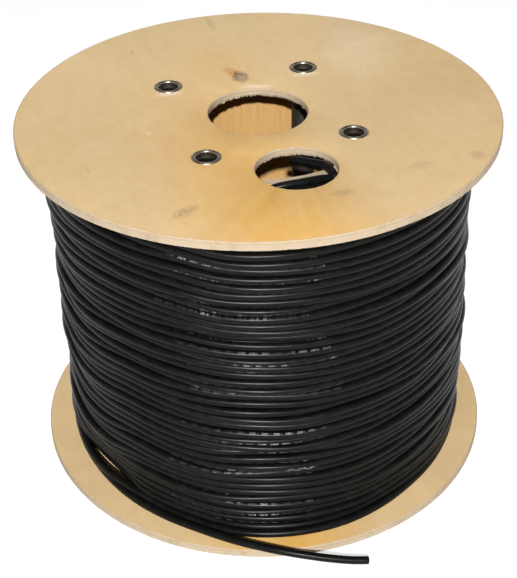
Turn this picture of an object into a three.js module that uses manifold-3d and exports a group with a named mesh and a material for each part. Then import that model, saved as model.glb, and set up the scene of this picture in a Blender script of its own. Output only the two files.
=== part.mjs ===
// Plywood cable drum, full of cable and standing on its end. Millimetres, +Z up.
//
// Two round plywood flanges are clamped on a bent plywood barrel by four hollow steel tubes, whose ends
// are rolled over into rims. The cable is wound on the barrel from its inner end, which comes over the
// barrel's edge in the start hole, to its outer end, which peels off the lowest turn and crosses the
// bottom flange. The origin is on the drum's axis, at the level that the lower rims stand on, and the
// start hole lies towards -Y.

import * as THREE from "three";
import { mergeVertices } from "three/addons/utils/BufferGeometryUtils.js";
import Module from "manifold-3d";

// Flanges: two round plywood plates.
const FLANGE_DIAMETER = 400;
const FLANGE_THICKNESS = 8;
const FLANGE_EDGE_EASE = 0.6;
const ARBOR_HOLE_DIAMETER = 82;
const START_HOLE_DIAMETER = 64.5;
// How far the start hole's centre lies inside the barrel's outer face, which the hole straddles.
const START_HOLE_INSET = 9;

// Barrel: a tube of bent plywood, its ends seated in a ring groove in each flange.
const TRAVERSE = 295;
const BARREL_DIAMETER = 217;
const BARREL_WALL = 7.5;
const GROOVE_DEPTH = 1.5;

// Tube rivets: hollow steel tubes with rolled rims, part sunk into the plywood.
const RIVET_COUNT = 4;
const RIVET_TO_BARREL_GAP = 4.3;
const RIVET_FIRST_ANGLE = Math.PI / 4;
// The four holes are not drilled on a true square: how far each is off its corner, counter-clockwise.
const RIVET_STRAYS = [
  [0.5, 4.1],
  [2.8, 7.1],
  [0.3, 1.1],
  [0.4, 1.6],
];
const RIVET_TUBE_DIAMETER = 20;
const RIVET_BORE = 17;
const RIVET_RIM_DIAMETER = 24;
const RIVET_RIM_HEIGHT = 1.6;
const RIVET_RIM_PROUD = 0.8;

// Cable and its winding, which stops short of the flanges' edges.
const CABLE_DIAMETER = 6.8;
const FREE_RIM_WIDTH = 22;
const TURN_GROOVE_DEPTH = 2.2;
const LAYER_GROOVE_DEPTH = 1.2;

// Gap left between pieces that touch.
const CLEARANCE = 0.3;

// Facets round a full turn.
const FLANGE_FACETS = 96;
const HOLE_FACETS = 48;
const BARREL_FACETS = 60;
const RIVET_FACETS = 20;
const WINDING_FACETS = 30;
const CABLE_SIDES = 10;
const RIM_ARC_STEPS = 4;

// Heights, from the level that the lower rims stand on.
const BOTTOM_FACE = RIVET_RIM_PROUD;
const BOTTOM_FLANGE_TOP = BOTTOM_FACE + FLANGE_THICKNESS;
const TOP_FLANGE_UNDERSIDE = BOTTOM_FLANGE_TOP + TRAVERSE;
const TOP_FACE = TOP_FLANGE_UNDERSIDE + FLANGE_THICKNESS;
const BARREL_LOW_END = BOTTOM_FLANGE_TOP - GROOVE_DEPTH;
const BARREL_HIGH_END = TOP_FLANGE_UNDERSIDE + GROOVE_DEPTH;
const RIM_SEAT_DEPTH = RIVET_RIM_HEIGHT - RIVET_RIM_PROUD;

// Radii and places that follow from the sizes above.
const BARREL_RADIUS = BARREL_DIAMETER / 2;
const BARREL_BORE_RADIUS = BARREL_RADIUS - BARREL_WALL;
const START_HOLE_OFFSET = BARREL_RADIUS - START_HOLE_INSET;
const RIVET_CIRCLE_RADIUS = BARREL_BORE_RADIUS - RIVET_TO_BARREL_GAP - RIVET_TUBE_DIAMETER / 2;
const WINDING_RADIUS = FLANGE_DIAMETER / 2 - FREE_RIM_WIDTH;

// Height of the cable's centreline over a surface that it lies on.
const CABLE_LYING_HEIGHT = CLEARANCE + CABLE_DIAMETER / 2;

// The outer end's centreline: tangent to the lowest turn, over the bottom flange, then down to the floor.
// Heights are from where the cable lies on the bottom flange.
const OUTER_END_BASE = BOTTOM_FLANGE_TOP + CABLE_LYING_HEIGHT;
const OUTER_END_POINTS = [
  [-124.0, -133.2, 0],
  [-118.6, -139.1, 0],
  [-113.0, -144.9, 0],
  [-104.8, -153.1, 0],
  [-96.7, -161.0, 0],
  [-88.5, -168.6, 0],
  [-80.3, -175.8, 0],
  [-72.0, -182.4, 0],
  [-63.6, -188.6, 0],
  [-55.1, -194.4, -0.2],
  [-46.4, -199.6, -0.7],
  [-37.6, -204.2, -1.5],
  [-28.6, -208.3, -2.6],
  [-19.6, -212.0, -3.9],
  [-10.4, -215.4, -5.2],
  [-1.1, -218.5, -6.5],
  [8.3, -221.2, -7.7],
  [19.8, -223.9, -8.7],
];
const OUTER_END_STEPS = 16;

// The inner end's centreline: up beside the barrel, over its edge and curling down inside it. Heights are
// from where the cable lies on the barrel's upper end.
const INNER_END_BASE = BARREL_HIGH_END + CABLE_LYING_HEIGHT;
const INNER_END_POINTS = [
  [26.0, -110.9, -1.8],
  [25.6, -107.9, -0.8],
  [24.9, -104.9, 0],
  [23.8, -102.0, 0.4],
  [22.4, -99.3, 0.5],
  [20.7, -96.7, 0.4],
  [18.9, -94.2, 0],
  [17.1, -91.7, -0.5],
  [15.3, -89.2, -1.0],
  [13.5, -86.7, -1.5],
  [11.7, -84.3, -2.0],
  [9.9, -81.8, -2.5],
  [8.1, -79.3, -3.1],
  [6.3, -76.8, -3.7],
  [4.5, -74.3, -4.3],
];
const INNER_END_STEPS = 12;

const wasm = await Module();
wasm.setup();

const birchPlywood = { color: 0xe3bd8a, roughness: 0.6, metalness: 0 };
const bentPlywood = { color: 0xcfa06a, roughness: 0.65, metalness: 0 };
const platedSteel = { color: 0xb9bcc0, roughness: 0.3, metalness: 1 };
const blackJacket = { color: 0x242427, roughness: 0.45, metalness: 0 };

// A solid for joining and cutting, from a closed geometry whose shared corners are merged.
function solidFrom(geometry) {
  const bare = geometry.clone();
  bare.deleteAttribute("normal");
  bare.deleteAttribute("uv");
  const merged = mergeVertices(bare, 1e-4);
  const mesh = new wasm.Mesh({
    numProp: 3,
    vertProperties: new Float32Array(merged.attributes.position.array),
    triVerts: new Uint32Array(merged.index.array),
  });
  mesh.merge();
  return new wasm.Manifold(mesh);
}

function geometryFrom(solid) {
  const mesh = solid.getMesh();
  const geometry = new THREE.BufferGeometry();
  geometry.setAttribute("position", new THREE.BufferAttribute(mesh.vertProperties, 3));
  geometry.setIndex(new THREE.BufferAttribute(mesh.triVerts, 1));
  geometry.computeVertexNormals();
  return geometry;
}

// Revolves a closed profile of [radius, height] points about Z. The profile runs up its outer side.
function turned(profile, facets) {
  const points = profile.concat([profile[0]]).map(([radius, height]) => new THREE.Vector2(radius, height));
  return new THREE.LatheGeometry(points, facets).rotateX(Math.PI / 2);
}

function ring(innerRadius, outerRadius, low, high, facets) {
  return turned(
    [
      [outerRadius, low],
      [outerRadius, high],
      [innerRadius, high],
      [innerRadius, low],
    ],
    facets,
  );
}

// A round cutter standing along Z at x, y.
function drill(diameter, x, y, low, high, facets) {
  const shank = new THREE.CylinderGeometry(diameter / 2, diameter / 2, high - low, facets);
  shank.rotateX(Math.PI / 2);
  shank.translate(x, y, (low + high) / 2);
  return solidFrom(shank);
}

function rivetPlaces() {
  return Array.from({ length: RIVET_COUNT }, (_, k) => {
    const angle = RIVET_FIRST_ANGLE + (k * 2 * Math.PI) / RIVET_COUNT;
    const [strayX, strayY] = RIVET_STRAYS[k];
    return [RIVET_CIRCLE_RADIUS * Math.cos(angle) + strayX, RIVET_CIRCLE_RADIUS * Math.sin(angle) + strayY];
  });
}

// A flange lies from 0 to its thickness. Its inner face, at innerFace, has the barrel's groove, and its
// outer face has the shallow seats that the rivets' rims are pressed into.
function flange({ innerFace, outerFace, hasStartHole }) {
  const radius = FLANGE_DIAMETER / 2;
  const eased = radius - FLANGE_EDGE_EASE;
  const past = 1;
  const through = [-past, FLANGE_THICKNESS + past];
  const plate = turned(
    [
      [0, 0],
      [eased, 0],
      [radius, FLANGE_EDGE_EASE],
      [radius, FLANGE_THICKNESS - FLANGE_EDGE_EASE],
      [eased, FLANGE_THICKNESS],
      [0, FLANGE_THICKNESS],
    ],
    FLANGE_FACETS,
  );
  let solid = solidFrom(plate).subtract(drill(ARBOR_HOLE_DIAMETER, 0, 0, ...through, HOLE_FACETS));

  const inward = Math.sign(outerFace - innerFace);
  const grooveEnds = [innerFace - inward * past, innerFace + inward * GROOVE_DEPTH];
  const groove = ring(
    BARREL_BORE_RADIUS - CLEARANCE,
    BARREL_RADIUS + CLEARANCE,
    Math.min(...grooveEnds),
    Math.max(...grooveEnds),
    BARREL_FACETS,
  );
  solid = solid.subtract(solidFrom(groove));

  const seatEnds = [outerFace - inward * RIM_SEAT_DEPTH, outerFace + inward * past];
  for (const [x, y] of rivetPlaces()) {
    const holeDiameter = RIVET_TUBE_DIAMETER + 2 * CLEARANCE;
    const hole = drill(holeDiameter, x, y, ...through, RIVET_FACETS);
    const seatDiameter = RIVET_RIM_DIAMETER + 2 * CLEARANCE;
    const seat = drill(seatDiameter, x, y, Math.min(...seatEnds), Math.max(...seatEnds), RIVET_FACETS);
    solid = solid.subtract(hole).subtract(seat);
  }

  if (hasStartHole) {
    const startHole = drill(START_HOLE_DIAMETER, 0, -START_HOLE_OFFSET, ...through, HOLE_FACETS);
    solid = solid.subtract(startHole);
  }
  return geometryFrom(solid);
}

function barrel() {
  return ring(BARREL_BORE_RADIUS, BARREL_RADIUS, BARREL_LOW_END, BARREL_HIGH_END, BARREL_FACETS);
}

// Points of a rolled rim's domed face, from startAngle to startAngle plus half a turn.
function rolledRim(seatHeight, startAngle) {
  const middle = (RIVET_RIM_DIAMETER + RIVET_BORE) / 4;
  const halfWidth = (RIVET_RIM_DIAMETER - RIVET_BORE) / 4;
  return Array.from({ length: RIM_ARC_STEPS + 1 }, (_, k) => {
    const angle = startAngle + (k * Math.PI) / RIM_ARC_STEPS;
    return [middle + halfWidth * Math.cos(angle), seatHeight + RIVET_RIM_HEIGHT * Math.sin(angle)];
  });
}

function tubeRivet() {
  const upperSeat = TOP_FACE - RIM_SEAT_DEPTH;
  const lowerSeat = BOTTOM_FACE + RIM_SEAT_DEPTH;
  return turned(
    [
      [RIVET_TUBE_DIAMETER / 2, lowerSeat],
      [RIVET_TUBE_DIAMETER / 2, upperSeat],
      ...rolledRim(upperSeat, 0),
      ...rolledRim(lowerSeat, Math.PI),
    ],
    RIVET_FACETS,
  );
}

// The wound cable: one ring whose outside shows the turns and whose two ends show the layers.
function winding() {
  const bore = (BARREL_RADIUS + CLEARANCE) / Math.cos(Math.PI / WINDING_FACETS);
  const outer = WINDING_RADIUS;
  const low = BOTTOM_FLANGE_TOP + CLEARANCE;
  const high = TOP_FLANGE_UNDERSIDE - CLEARANCE;
  const turns = Math.floor((high - low) / CABLE_DIAMETER);
  const pitch = (high - low) / turns;
  const layerRise = (CABLE_DIAMETER * Math.sqrt(3)) / 2;
  const layers = Math.max(1, Math.round((outer - bore) / layerRise));
  const layerPitch = (outer - bore) / layers;

  const profile = [];
  for (let turn = 0; turn < turns; turn += 1) {
    profile.push([outer, low + (turn + 0.5) * pitch]);
    if (turn < turns - 1) {
      profile.push([outer - TURN_GROOVE_DEPTH, low + (turn + 1) * pitch]);
    }
  }
  for (let layer = layers - 1; layer >= 0; layer -= 1) {
    profile.push([bore + (layer + 0.5) * layerPitch, high]);
    profile.push([bore + layer * layerPitch, high - LAYER_GROOVE_DEPTH]);
  }
  for (let layer = 0; layer < layers; layer += 1) {
    profile.push([bore + layer * layerPitch, low + LAYER_GROOVE_DEPTH]);
    profile.push([bore + (layer + 0.5) * layerPitch, low]);
  }
  return turned(profile, WINDING_FACETS);
}

// A length of cable along hand-placed centreline points.
function cableAlong(points, steps) {
  const path = new THREE.CatmullRomCurve3(points.map((point) => new THREE.Vector3(...point)));
  const section = new THREE.Shape(
    Array.from({ length: CABLE_SIDES }, (_, k) => {
      const angle = (k * 2 * Math.PI) / CABLE_SIDES;
      const radius = CABLE_DIAMETER / 2;
      return new THREE.Vector2(radius * Math.cos(angle), radius * Math.sin(angle));
    }),
  );
  return new THREE.ExtrudeGeometry(section, { steps, extrudePath: path });
}

const drum = new THREE.Group();
drum.name = "cable_drum";

function add(name, geometry, finish, [x, y, z] = [0, 0, 0]) {
  const mesh = new THREE.Mesh(geometry, new THREE.MeshStandardMaterial(finish));
  mesh.name = name;
  mesh.position.set(x, y, z);
  drum.add(mesh);
}

const lowerPlate = { innerFace: FLANGE_THICKNESS, outerFace: 0, hasStartHole: false };
const upperPlate = { innerFace: 0, outerFace: FLANGE_THICKNESS, hasStartHole: true };
add("flange_bottom", flange(lowerPlate), birchPlywood, [0, 0, BOTTOM_FACE]);
add("flange_top", flange(upperPlate), birchPlywood, [0, 0, TOP_FLANGE_UNDERSIDE]);
add("barrel", barrel(), bentPlywood);
rivetPlaces().forEach(([x, y], k) => {
  add(`tube_rivet_${k + 1}`, tubeRivet(), platedSteel, [x, y, 0]);
});
add("cable_winding", winding(), blackJacket);
const outerEnd = cableAlong(OUTER_END_POINTS, OUTER_END_STEPS);
const innerEnd = cableAlong(INNER_END_POINTS, INNER_END_STEPS);
add("cable_outer_end", outerEnd, blackJacket, [0, 0, OUTER_END_BASE]);
add("cable_inner_end", innerEnd, blackJacket, [0, 0, INNER_END_BASE]);

export default drum;
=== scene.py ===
from functools import partial

import bmesh
import bpy
import numpy as np
from mathutils import Matrix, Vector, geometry


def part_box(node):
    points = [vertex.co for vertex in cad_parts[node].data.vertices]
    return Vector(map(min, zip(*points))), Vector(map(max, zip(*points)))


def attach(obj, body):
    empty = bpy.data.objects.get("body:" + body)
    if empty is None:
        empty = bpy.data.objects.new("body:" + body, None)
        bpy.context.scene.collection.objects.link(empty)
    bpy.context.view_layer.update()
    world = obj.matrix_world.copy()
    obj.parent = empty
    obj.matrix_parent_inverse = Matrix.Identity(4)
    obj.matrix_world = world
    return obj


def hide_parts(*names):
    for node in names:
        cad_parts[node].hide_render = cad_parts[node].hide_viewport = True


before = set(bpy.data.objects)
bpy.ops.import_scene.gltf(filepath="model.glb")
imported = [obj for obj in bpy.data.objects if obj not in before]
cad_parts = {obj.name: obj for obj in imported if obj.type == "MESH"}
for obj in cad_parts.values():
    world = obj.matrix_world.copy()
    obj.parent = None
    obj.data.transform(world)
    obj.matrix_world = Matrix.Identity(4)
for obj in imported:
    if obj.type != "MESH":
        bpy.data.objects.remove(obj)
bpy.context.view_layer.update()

# --------------------------------------------------------------------------------------------------------
# Flanges. Two round plates of 8 mm birch plywood, sawn to a circle and drilled: a spindle hole, four holes
# for the tube rivets and, in the upper plate only, the hole that the cable's inner end comes out of. The
# sawn rims are eased by handling, and the face veneer has torn away in small chips round the large holes.
# --------------------------------------------------------------------------------------------------------

TURN = 2 * np.pi
MM = 0.001

FLANGE_RADIUS = 200 * MM
RIM_EASE = 1.0 * MM
SPINDLE_HOLE_RADIUS = 41 * MM
START_HOLE_RADIUS = 32.25 * MM
START_HOLE_CENTRE = (0, -99.5 * MM)
# The four rivets stray a little from a true square.
RIVET_CENTRES = [(x * MM, y * MM) for x, y in [(61.8, 65.4), (-58.5, 68.4), (-61.0, -60.2), (61.7, -59.7)]]
RIVET_HOLE_RADIUS = 10.3 * MM
RIVET_SEAT_RADIUS = 12.3 * MM
RIVET_SEAT_DEPTH = 0.8 * MM
RIVET_COLUMNS = 72

HOLE_EASE = 0.9 * MM
EDGE_ROWS = 9
MERGED_WITHIN = 1e-7

SAW_WAVER = 0.12 * MM
SAW_WAVER_WIDTH = 4 * MM
SAW_LEAN = 0.7
CHIP_DEPTH = 0.8 * MM
CHIP_REACH = 0.6 * MM
CHIP_WIDTH = 2.5 * MM
# The veneer chips where one noise stands above CHIP_LEVEL, on the stretches where a slow one stands above
# STRETCH_LEVEL.
CHIP_LEVEL = 0.3
STRETCH_LEVEL = -0.4
MOST_STRETCHES = 14
MOST_CHIPPED = 2
TORN_DEPTH = 1.7 * MM
TORN_REACH = 1.6 * MM
TORN_WIDTH = 3 * MM
TORN_MEAN = 0.8
TORN_SPREAD = 0.3
MOST_TORN = 1.5


def wander(rng, angle, turn=0.0, strands=48, most_waves=6):
    """Smooth noise with an rms of one: the sum of many cosines of the angle round the drum, each with a
    random whole number of waves a turn, a random phase, and a random shift from one turn to the next."""
    total = np.zeros(np.broadcast(angle, turn).shape)
    for _ in range(strands):
        waves = rng.integers(1, most_waves + 1)
        shift = rng.uniform(-np.pi, np.pi)
        phase = rng.uniform(0, TURN)
        total += np.cos(waves * angle + shift * turn + phase)
    return total * np.sqrt(2 / strands)


def grid(points, uv, wrap_rows=False, wrap_columns=False, finish=0, smooth=True):
    """A surface through a grid of points (rows, columns, 3): each cell of the grid is one four-sided face.
    A wrapped side joins its last line back to its first, and uv has one more line on that side."""
    rows, columns = points.shape[:2]
    row = np.arange(rows if wrap_rows else rows - 1)
    column = np.arange(columns if wrap_columns else columns - 1)
    i, j = (a.ravel() for a in np.meshgrid(row, column, indexing="ij"))
    corner_rows = np.stack([i, i + 1, i + 1, i], -1)
    corner_columns = np.stack([j, j, j + 1, j + 1], -1)
    faces = (corner_rows % rows) * columns + corner_columns % columns
    return points.reshape(-1, 3), faces, uv[corner_rows, corner_columns], finish, smooth


def piece(name, surfaces, finishes, sharp_angle=None):
    """One mesh object from several surfaces, whose shared edges are merged. It is closed, its faces point
    outwards, and it lies at its real place with its object at the origin."""
    vertices, faces, uvs, slots, smooths, start = [], [], [], [], [], 0
    for points, corners, uv, finish, smooth in surfaces:
        vertices.append(points)
        faces += (corners + start).tolist()
        uvs.append(uv.reshape(-1, 2))
        slots += [finish] * len(corners)
        smooths += [smooth] * len(corners)
        start += len(points)
    mesh = bpy.data.meshes.new(name)
    mesh.from_pydata(np.concatenate(vertices).tolist(), [], faces)
    mesh.uv_layers.new(name="along").data.foreach_set("uv", np.concatenate(uvs).astype(np.float32).ravel())
    mesh.polygons.foreach_set("material_index", slots)
    mesh.polygons.foreach_set("use_smooth", smooths)
    welded = bmesh.new()
    welded.from_mesh(mesh)
    bmesh.ops.remove_doubles(welded, verts=welded.verts, dist=MERGED_WITHIN)
    bmesh.ops.dissolve_degenerate(welded, edges=welded.edges, dist=MERGED_WITHIN)
    bmesh.ops.recalc_face_normals(welded, faces=welded.faces)
    welded.to_mesh(mesh)
    welded.free()
    if sharp_angle is not None:
        mesh.set_sharp_from_angle(angle=sharp_angle)
    for finish in finishes:
        mesh.materials.append(finish)
    made = bpy.data.objects.new(name, mesh)
    bpy.context.scene.collection.objects.link(made)
    return made


def lengths(points):
    """How far along a line of points each of them lies."""
    return np.concatenate([[0], np.cumsum(np.linalg.norm(np.diff(points, axis=0), axis=1))])


def turned(profile, centre=(0, 0), columns=240, shift=0.0, **options):
    """A profile of (radius, height) rows carried round a vertical axis through centre. shift moves each
    point outwards, as an array of rows by columns. uv is the length round the rim and along the profile."""
    profile = np.array(profile, float)
    radius, height = profile.T
    angle = np.arange(columns) * TURN / columns
    reach = radius[:, None] + shift
    x = centre[0] + reach * np.cos(angle)
    y = centre[1] + reach * np.sin(angle)
    z = np.broadcast_to(height[:, None], x.shape)
    along = lengths(np.concatenate([profile, profile[:1]]) if options.get("wrap_rows") else profile)
    round_rim = np.arange(columns + 1) * TURN / columns * radius.max()
    uv = np.stack(np.broadcast_arrays(round_rim, along[:, None]), -1)
    return grid(np.stack([x, y, z], -1), uv, wrap_columns=True, **options)


def sawn_profile(radius, side, low, high, ease):
    """Rows of a sawn edge from the upper face to the lower: a quarter round of radius ease at each face, and
    rows through the thickness. side is 1 where the wood is inside the circle and -1 where it is outside."""
    quarter = np.radians([0, 30, 60, 90])
    inset = ease * (1 - np.sin(quarter))
    drop = ease * (1 - np.cos(quarter))
    wall = np.linspace(high - ease, low + ease, EDGE_ROWS)[1:-1]
    heights = np.concatenate([high - drop, wall, low + drop[::-1]])
    insets = np.concatenate([inset, np.zeros(len(wall)), inset[::-1]])
    return np.stack([radius - side * insets, heights], -1)


def sawn_edge(rng, low, high, radius, side, centre, columns, chips, ease):
    """The saw's fine waver over the whole edge, and chips: where smooth noise round the rim stands high, the
    veneer has broken back from the edge, and less so further from the face. Round a hole the saw has also
    torn the lowest ply away in a ragged bevel. All of these only take wood away."""
    profile = sawn_profile(radius, side, low, high, ease)
    angle = np.arange(columns) * TURN / columns
    rim = TURN * radius
    row = np.arange(len(profile))[:, None]
    taken = SAW_WAVER * np.abs(wander(rng, angle, row * SAW_LEAN, most_waves=int(rim / SAW_WAVER_WIDTH)))
    for share, from_face in zip(chips, (high - profile[:, 1], profile[:, 1] - low)):
        chip = wander(rng, angle, most_waves=int(rim / CHIP_WIDTH)) - CHIP_LEVEL
        stretch = wander(rng, angle, most_waves=MOST_STRETCHES) - STRETCH_LEVEL
        chipped = np.clip(chip, 0, MOST_CHIPPED) * np.clip(stretch, 0, MOST_CHIPPED)
        taken = taken + share * CHIP_DEPTH * chipped * np.exp(-from_face / CHIP_REACH)[:, None]
    if side < 0:
        torn = TORN_MEAN + TORN_SPREAD * wander(rng, angle, most_waves=int(rim / TORN_WIDTH))
        depth = TORN_DEPTH * np.clip(torn, 0, MOST_TORN)
        taken = taken + depth * np.exp(-((profile[:, 1:] - low) / TORN_REACH) ** 2)
    return turned(profile, centre, columns, shift=-side * taken, finish=1)


def veneer_face(rings, centres):
    """The flat face between rings of points: a Delaunay net of the points, less what lies nearer a hole's
    centre than its ring does in that direction. The first ring is the outline, the others are holes."""
    outline = np.concatenate(rings)
    edges, start = [], 0
    for ring in rings:
        count = len(ring)
        edges += [(start + k, start + (k + 1) % count) for k in range(count)]
        start += count
    inside_only, tolerance = 1, 1e-9
    net = geometry.delaunay_2d_cdt(outline[:, :2].tolist(), edges, [], inside_only, tolerance)
    flat = np.array([tuple(point) for point in net[0]])
    faces = np.array(net[2])
    middle = flat[faces].mean(1)
    kept = np.ones(len(faces), bool)
    for ring, centre in zip(rings[1:], centres[1:]):
        x, y = (ring[:, :2] - centre).T
        across, ahead = (middle - centre).T
        hole = np.interp(np.arctan2(ahead, across), np.arctan2(y, x), np.hypot(x, y), period=TURN)
        kept &= np.hypot(across, ahead) > hole
    points = np.column_stack([flat, np.full(len(flat), outline[0, 2])])
    return points, faces[kept], flat[faces[kept]], 0, False


def linear(colour):
    """An sRGB hex colour as linear red, green, blue and alpha."""
    value = np.array([int(colour[k:k + 2], 16) for k in (1, 3, 5)]) / 255
    return (*np.where(value <= 0.04045, value / 12.92, ((value + 0.055) / 1.055) ** 2.4), 1.0)


def add_node(tree, kind, inputs=None, out=0, **settings):
    """Adds one node and returns its output out, if it has any. inputs gives an input, by name or number,
    another node's output, a value or a hex colour."""
    made = tree.nodes.new("ShaderNode" + kind)
    for name, value in settings.items():
        setattr(made, name, value)
    for name, value in (inputs or {}).items():
        if isinstance(value, bpy.types.NodeSocket):
            tree.links.new(value, made.inputs[name])
        else:
            made.inputs[name].default_value = linear(value) if isinstance(value, str) else value
    return made.outputs[out] if made.outputs else None


def material(name):
    """A material with an empty node tree, and add_node for that tree."""
    made = bpy.data.materials.new(name)
    made.use_nodes = True
    made.node_tree.nodes.clear()
    return made, partial(add_node, made.node_tree)


# Mix node sockets for colours.
FACTOR, FIRST, SECOND, MIXED = 0, 6, 7, 2

# Rotary-cut birch face veneer, sanded and unfinished: a pale tan, dry and nearly matt, with a warmer band
# of heartwood down the middle of the sheet, faint streaks and fine pores along the grain, and on the upper
# plate a small knot and a few grey scuffs from handling. The plate is painted paler towards the back, partly
# its own tone and partly painted light that evens out the main lamp's fall-off, and the pale marks in front
# of the two back rivets are partly torn veneer and partly a painted highlight on a lip that faces the lamp.
VENEER_TAN = "#D8BA8B"
VENEER_WARM = "#DFAD5A"
VENEER_PALE = "#E9CC9C"
VENEER_STREAK = "#C79C66"
WARM_BAND_MIDDLE = -36 * MM
WARM_BAND_HALF_WIDTH = 95 * MM
STREAK_WIDTH = 5 * MM
STREAK_LENGTH = 160 * MM
PATCH_SIZE = 70 * MM
MOTTLE_SIZE = 9 * MM
FLECK_SIZE = 3.4 * MM
SCUFF_GRAIN = 2.4 * MM
# The pores are finer in the wood than a picture of the whole drum can show, so they are drawn wider.
PORE_WIDTH = 0.9 * MM
PORE_LENGTH = 14 * MM
KNOT_DARK = "#8E7B62"
KNOT_RING = "#6B5540"
KNOT_GREY = "#A8967A"
KNOT_TINT = "#CE8A45"
SCUFF_GREY = "#A8926F"
# Pale of torn veneer; by the back rivets also a painted highlight for a raised lip lit by the lamp.
PALE_TORN_AND_PAINTED_LIGHT = "#F4E4C8"
# A paler tone, laid as one broad patch at the back right of the upper plate.
PALER_BROAD_PATCH = "#F0DEBE"
# Marks on the upper plate: x, y, half length and half width in mm, turn in degrees, colour and strength.
VENEER_MARKS = [
    (0.5, 77, 8, 13, 25, KNOT_TINT, 0.95),
    (4.5, 66.5, 9, 13, 0, KNOT_RING, 1.6),
    (5.5, 64.5, 6, 8, 0, KNOT_GREY, 1.5),
    (11, 181, 5, 20, -3, SCUFF_GREY, 0.45),
    (91, -127, 15, 7, 2, SCUFF_GREY, 0.45),
    (139, -127, 9, 9, 20, SCUFF_GREY, 0.55),
    (20, -146, 13, 6, -4, KNOT_DARK, 0.45),
    (-98, -134, 17, 7, 24, KNOT_DARK, 0.6),
    (-72, 145, 2, 4, 0, KNOT_DARK, 0.5),
    (-153, -50, 1.5, 8, 0, KNOT_DARK, 0.4),
    (-94, -8, 2.5, 3, 0, PALE_TORN_AND_PAINTED_LIGHT, 0.8),
    # In front of the two back rivets: torn veneer and a painted highlight of a raised lip that faces the
    # lamp.
    (-62, 55, 16, 6.5, -6, PALE_TORN_AND_PAINTED_LIGHT, 0.9),
    (58.5, 52, 15, 6, -12, PALE_TORN_AND_PAINTED_LIGHT, 0.8),
    (11, 44, 16, 5, -17, PALE_TORN_AND_PAINTED_LIGHT, 0.8),
    # A broad paler patch at the back right.
    (118, 85, 42, 85, -10, PALER_BROAD_PATCH, 0.5),
    (-5, 100, 45, 50, 0, VENEER_WARM, 0.3),
]


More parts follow.
